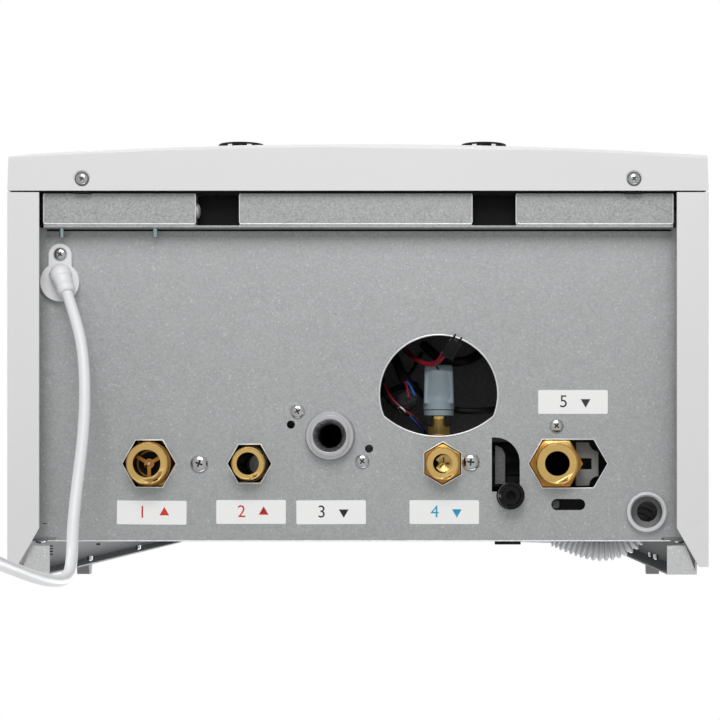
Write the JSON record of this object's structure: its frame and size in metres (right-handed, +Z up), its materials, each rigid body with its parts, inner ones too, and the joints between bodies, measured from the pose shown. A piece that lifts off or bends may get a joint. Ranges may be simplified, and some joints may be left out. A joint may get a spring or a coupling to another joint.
{
  "type": "combi boiler",
  "caption": "Wall-hung combi boiler: white casing on a galvanised chassis with pipe connections, drain, condensate outlet and mains lead underneath, and the working parts inside.",
  "frame": {"origin": "centre of the hanging rail's four bolt holes, on the rail's rear face", "axes": "+X to the right seen from the front, +Y towards the wall, +Z up"},
  "size_m": [0.44, 0.2881, 1.204],
  "materials": {
    "painted_white": "satin",
    "galvanised": "satin",
    "steel": "satin",
    "screw_steel": "gloss",
    "brass": "satin",
    "copper": "satin",
    "stainless": "satin",
    "cast_aluminium": "matt",
    "cast_iron": "matt",
    "red_steel": "gloss",
    "black_plastic": "matt",
    "grey_plastic": "matt",
    "pale_grey_plastic": "satin",
    "white_plastic": "gloss",
    "white_rubber": "satin",
    "red_plastic": "gloss",
    "dark_glass": "gloss",
    "board": "matt",
    "sticker": "matt"
  },
  "bodies": {
    "chassis": {"bottom_plate": "galvanised", "burner": "stainless", "burner_door": "cast_aluminium", "casing_screws": "screw_steel", "chassis_back": "galvanised", "cold_water_fitting": "brass", "condensate_hose": "pale_grey_plastic", "condensate_outlet": "pale_grey_plastic", "condensate_trap": "pale_grey_plastic", "control_board": "board", "control_box": "black_plastic", "cord_coil": "white_rubber", "display": "dark_glass", "diverter_motor": "black_plastic", "drain_body": "black_plastic", "exchanger_coil": "stainless", "exchanger_drum": "stainless", "expansion_vessel": "red_steel", "fan_housing": "cast_aluminium", "fill_valve": "brass", "flue_turret": "cast_aluminium", "front_cross_rail": "galvanised", "gas_inlet_fitting": "steel", "gas_valve": "cast_aluminium", "hanging_rail": "galvanised", "heating_return_fitting": "brass", "heating_supply_fitting": "brass", "hot_water_fitting": "brass", "pipework": "copper", "plate_exchanger": "stainless", "power_cord": "white_rubber", "power_gland": "white_plastic", "power_plug": "white_plastic", "pressure_gauge": "black_plastic", "pump_body": "cast_iron", "rear_rails": "galvanised", "relief_valve": "brass", "return_block": "black_plastic", "return_clip": "black_plastic", "side_casing_left": "painted_white", "side_casing_right": "painted_white", "stickers": "sticker", "supply_block": "black_plastic", "top_panel": "painted_white", "wiring_loom": "black_plastic"},
    "cover": {"front_cover": "painted_white", "cover_screws": "screw_steel"},
    "knob_left": {"knob_left": "black_plastic"},
    "knob_right": {"knob_right": "black_plastic"},
    "mode_button": {"mode_button": "black_plastic"},
    "reset_button": {"reset_button": "black_plastic"},
    "gauge_needle": {"gauge_needle": "red_plastic"},
    "check_valve": {"check_valve": "brass"},
    "drain_cock": {"drain_cock": "black_plastic"},
    "fill_knob": {"fill_knob": "grey_plastic"},
    "diverter_spindle": {"diverter_spindle": "stainless"},
    "flow_turbine": {"flow_turbine": "white_plastic"},
    "pump_impeller": {"pump_impeller": "black_plastic"},
    "relief_knob": {"relief_knob": "red_plastic"},
    "fan_impeller": {"fan_impeller": "black_plastic"}
  },
  "joints": [
    {"name": "cover_pull", "type": "slide", "parent": "chassis", "child": "cover", "axis": [0, -1, 0], "range_m": [0, 0.11]},
    {"name": "knob_left_turn", "type": "hinge", "parent": "chassis", "child": "knob_left", "pos_m": [-0.08, -0.266, -0.65], "axis": [0, -1, 0], "range_deg": [-140, 140]},
    {"name": "knob_right_turn", "type": "hinge", "parent": "chassis", "child": "knob_right", "pos_m": [0.08, -0.266, -0.65], "axis": [0, -1, 0], "range_deg": [-140, 140]},
    {"name": "mode_button_press", "type": "slide", "parent": "chassis", "child": "mode_button", "axis": [0, 1, 0], "range_m": [0, 0.0015], "stiffness_N_per_m": 400},
    {"name": "reset_button_press", "type": "slide", "parent": "chassis", "child": "reset_button", "axis": [0, 1, 0], "range_m": [0, 0.0015], "stiffness_N_per_m": 400},
    {"name": "gauge_needle_turn", "type": "hinge", "parent": "chassis", "child": "gauge_needle", "pos_m": [0, -0.266, -0.611], "axis": [0, -1, 0], "range_deg": [-130, 130]},
    {"name": "check_valve_lift", "type": "slide", "parent": "chassis", "child": "check_valve", "axis": [0, 0, -1], "range_m": [0, 0.003], "stiffness_N_per_m": 250},
    {"name": "drain_cock_turn", "type": "hinge", "parent": "chassis", "child": "drain_cock", "pos_m": [0.0962, -0.0478, -0.71], "axis": [0, 0, 1], "range_deg": [0, 180]},
    {"name": "fill_knob_turn", "type": "hinge", "parent": "chassis", "child": "fill_knob", "pos_m": [0.0505, -0.111, -0.685], "axis": [0, -1, 0], "range_deg": [0, 90]},
    {"name": "diverter_travel", "type": "slide", "parent": "chassis", "child": "diverter_spindle", "axis": [0, 0, 1], "range_m": [0, 0.006]},
    {"name": "flow_turbine_spin", "type": "hinge", "parent": "chassis", "child": "flow_turbine", "pos_m": [0.0531, -0.068, -0.672], "axis": [0, 0, 1], "continuous": true},
    {"name": "pump_spin", "type": "hinge", "parent": "chassis", "child": "pump_impeller", "pos_m": [0.1254, -0.071, -0.57], "axis": [0, 1, 0], "continuous": true},
    {"name": "relief_knob_turn", "type": "hinge", "parent": "chassis", "child": "relief_knob", "pos_m": [-0.1, -0.135, -0.655], "axis": [0, -1, 0], "range_deg": [0, 90]},
    {"name": "fan_spin", "type": "hinge", "parent": "chassis", "child": "fan_impeller", "pos_m": [0.06, -0.191, -0.35], "axis": [0, 1, 0], "continuous": true}
  ]
}
